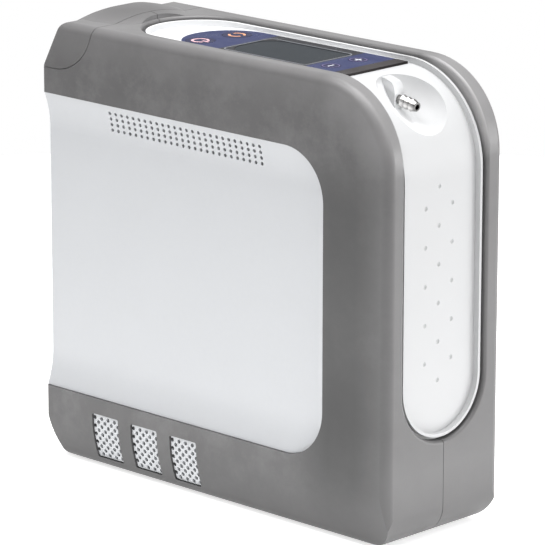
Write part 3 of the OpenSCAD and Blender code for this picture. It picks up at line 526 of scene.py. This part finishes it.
def mode_symbol(cx, cy, r):
    """Two half circles."""
    return [arc(cx, cy, r * 0.6, r * 0.44, 20, 160), arc(cx, cy, r * 0.6, r * 0.44, 200, 340)]


def minus_symbol(cx, cy, r):
    return [bar(cx, cy, r * 0.9, r * 0.2, 90)]


def plus_symbol(cx, cy, r):
    return minus_symbol(cx, cy, r) + [bar(cx - r * 0.28, cy, r * 0.34, r * 0.2),
                                      bar(cx + r * 0.28, cy, r * 0.34, r * 0.2)]


# ---------------------------------------------------------------- printed pieces

FACE_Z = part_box("control_overlay")[1][2]
KEY_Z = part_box("power_button")[1][2]
PRINT_T = 0.00004
PRINT_SUNK = 0.00002
RING_OUTER, RING_INNER = 0.92, 0.82
FRAME_GAP, FRAME_LINE = 0.0016, 0.0006
FRAME_R_OUTER, FRAME_R_INNER = 0.0035, 0.003


def relief(outlines, z0, z1):
    """Thin raised print: closed outlines of (x, y), or (outer, inner) pairs for rings."""
    bm = bmesh.new()
    for shape in outlines:
        outer, inner = shape if isinstance(shape, tuple) else (shape, None)
        top = [bm.verts.new((x, y, z1)) for x, y in outer]
        low = [bm.verts.new((x, y, z0)) for x, y in outer]
        count = len(outer)
        for i in range(count):
            j = (i + 1) % count
            bm.faces.new((low[i], low[j], top[j], top[i]))
        if inner is None:
            bm.faces.new(top)
            bm.faces.new(low[::-1])
            continue
        top_in = [bm.verts.new((x, y, z1)) for x, y in inner]
        low_in = [bm.verts.new((x, y, z0)) for x, y in inner]
        for i in range(count):
            j = (i + 1) % count
            bm.faces.new((top[i], top[j], top_in[j], top_in[i]))
            bm.faces.new((low[j], low[i], low_in[i], low_in[j]))
            bm.faces.new((top_in[i], top_in[j], low_in[j], low_in[i]))
    bmesh.ops.recalc_face_normals(bm, faces=bm.faces)
    mesh = bpy.data.meshes.new("relief")
    bm.to_mesh(mesh)
    bm.free()
    return mesh


def print_on(name, outlines, mat, body, z):
    """Adds a raised print on a face at height z, riding on a body."""
    mesh = relief(outlines, z - PRINT_SUNK, z + PRINT_T)
    obj = bpy.data.objects.new(name, mesh)
    bpy.context.scene.collection.objects.link(obj)
    mesh.materials.append(mat)
    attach(obj, body)


def ink(name, colour):
    return moulded(name, colour, rough=0.35, vary=0.05, grain=2000, depth=0.00001, strength=0.1)


def add_prints():
    """Generic symbols on the keys and a thin line round the display."""
    pink = ink("ink_pink", (0.72, 0.42, 0.46))
    orange = ink("ink_orange", (0.75, 0.33, 0.16))
    pale = ink("ink_pale", (0.55, 0.56, 0.62))
    violet = ink("ink_violet", (0.10, 0.07, 0.20))
    line = ink("ink_line", (0.16, 0.17, 0.19))
    for kind, symbol, colour, ringed in (("power", power_symbol, pink, False),
                                         ("mode", mode_symbol, orange, False),
                                         ("minus", minus_symbol, pale, True),
                                         ("plus", plus_symbol, pale, True)):
        low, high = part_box(kind + "_button")
        cx, cy = (low[0] + high[0]) / 2, (low[1] + high[1]) / 2
        r = (high[0] - low[0]) / 2
        body = kind + "_key"
        if ringed:
            print_on("print_ring_" + kind, [ring(cx, cy, r * RING_OUTER, r * RING_INNER)],
                     violet, body, KEY_Z)
        print_on("print_" + kind, symbol(cx, cy, r), colour, body, KEY_Z)

    low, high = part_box("display_window")
    x0, y0 = low[0] - FRAME_GAP, low[1] - FRAME_GAP
    x1, y1 = high[0] + FRAME_GAP, high[1] + FRAME_GAP
    outer = rounded_box(x0, y0, x1, y1, FRAME_R_OUTER)
    inner = rounded_box(x0 + FRAME_LINE, y0 + FRAME_LINE, x1 - FRAME_LINE, y1 - FRAME_LINE,
                        FRAME_R_INNER)
    print_on("print_frame", [(outer, inner)], line, "housing", FACE_Z)


# ---------------------------------------------------------------- studio

# Softboxes: name, place, size in metres, power in watts; each one faces the object
SOFTBOXES = [
    ("softbox_top", (0.2, 0.1, 1.8), (1.2, 1.2), 35.0),
    ("softbox_top_right", (1.2, 0.5, 1.3), (1.0, 1.0), 8.0),
    ("softbox_near", (-0.05, -0.4, 0.8), (0.5, 0.3), 2.8),
    ("softbox_front", (1.1, 1.15, 0.16), (1.0, 0.3), 11.5),
    ("softbox_back", (-1.3, 1.3, 0.7), (1.2, 1.0), 1.5),
]
LIGHT_AIM = (0.0, 0.0, 0.1)

# Light from the surroundings, above and below the horizon's blur
SKY_ABOVE, SKY_BELOW = 0.4, 0.2
HORIZON = (-0.05, 0.05)

# The floor glows a little near the object, and less away from it: painted light over its shadow
GLOW_NEAR, GLOW_FAR = 0.65, 0.2
GLOW_FADE = (0.2, 0.45)
FLOOR_R = 0.7
FLOOR_SIDES = 96
FLOOR_Z = -0.0001


def add_camera():
    out = Vector((math.sin(AZIMUTH) * math.cos(ELEVATION),
                  -math.cos(AZIMUTH) * math.cos(ELEVATION), math.sin(ELEVATION)))
    data = bpy.data.cameras.new("camera")
    data.sensor_width = SENSOR_MM
    data.lens = FOCAL_PX * SENSOR_MM / IMAGE_PX
    data.clip_end = CLIP_END
    cam = bpy.data.objects.new("camera", data)
    bpy.context.scene.collection.objects.link(cam)
    turn = (-out).to_track_quat("-Z", "Y").to_matrix() @ Matrix.Rotation(ROLL, 3, "Z")
    cam.matrix_world = Matrix.Translation(TARGET + out * DISTANCE) @ turn.to_4x4()
    bpy.context.scene.camera = cam


def add_softbox(name, place, box, power):
    data = bpy.data.lights.new(name, "AREA")
    data.shape = "RECTANGLE"
    data.size, data.size_y = box
    data.energy = power
    obj = bpy.data.objects.new(name, data)
    bpy.context.scene.collection.objects.link(obj)
    turn = (Vector(LIGHT_AIM) - Vector(place)).to_track_quat("-Z", "Y").to_matrix()
    obj.matrix_world = Matrix.Translation(place) @ turn.to_4x4()


def add_sky():
    """White surroundings for the camera, dimmer ones for the light they give."""
    world = bpy.data.worlds.new("studio")
    bpy.context.scene.world = world
    world.use_nodes = True
    dim = world.node_tree.nodes["Background"]
    white = new_node(world, "ShaderNodeBackground")
    for background in (dim, white):
        background.inputs["Color"].default_value = (1.0, 1.0, 1.0, 1.0)
    white.inputs["Strength"].default_value = 1.0
    height = split_xyz(world, own_space(world, "Generated"))[2]
    link(world, rise(world, height, HORIZON, SKY_BELOW, SKY_ABOVE), dim.inputs["Strength"])
    choose = new_node(world, "ShaderNodeMixShader")
    path = new_node(world, "ShaderNodeLightPath")
    for out, inp in zip((path.outputs["Is Camera Ray"], dim.outputs[0], white.outputs[0]),
                        choose.inputs):
        link(world, out, inp)
    link(world, choose.outputs[0], world.node_tree.nodes["World Output"].inputs["Surface"])


def add_floor():
    """Pale round floor, a hair under the feet."""
    mesh = bpy.data.meshes.new("floor")
    bm = bmesh.new()
    bmesh.ops.create_circle(bm, cap_ends=True, segments=FLOOR_SIDES, radius=FLOOR_R)
    bm.to_mesh(mesh)
    bm.free()
    floor = bpy.data.objects.new("floor", mesh)
    floor.location.z = FLOOR_Z
    bpy.context.scene.collection.objects.link(floor)
    mat, bsdf = new_material("floor_white")
    bsdf.inputs["Roughness"].default_value = 0.8
    bsdf.inputs["Specular IOR Level"].default_value = 0.1
    link(mat, mix(mat, noise(mat, 3.0), (0.93, 0.93, 0.93), (0.95, 0.95, 0.95)),
         bsdf.inputs["Base Color"])
    # Painted light: the floor's glow, strongest near the object, fills its contact shadow
    bsdf.inputs["Emission Color"].default_value = (1, 1, 1, 1)
    away = new_node(mat, "ShaderNodeVectorMath")
    away.operation = "LENGTH"
    link(mat, own_space(mat), away.inputs[0])
    link(mat, remap(mat, away.outputs["Value"], GLOW_NEAR, GLOW_FAR, GLOW_FADE),
         bsdf.inputs["Emission Strength"])
    mesh.materials.append(mat)


def add_studio():
    view = bpy.context.scene.view_settings
    view.view_transform = "Standard"
    view.look = "None"
    add_sky()
    add_floor()
    for softbox in SOFTBOXES:
        add_softbox(*softbox)


dress_nodes()
add_prints()
add_camera()
add_studio()

bpy.context.view_layer.update()
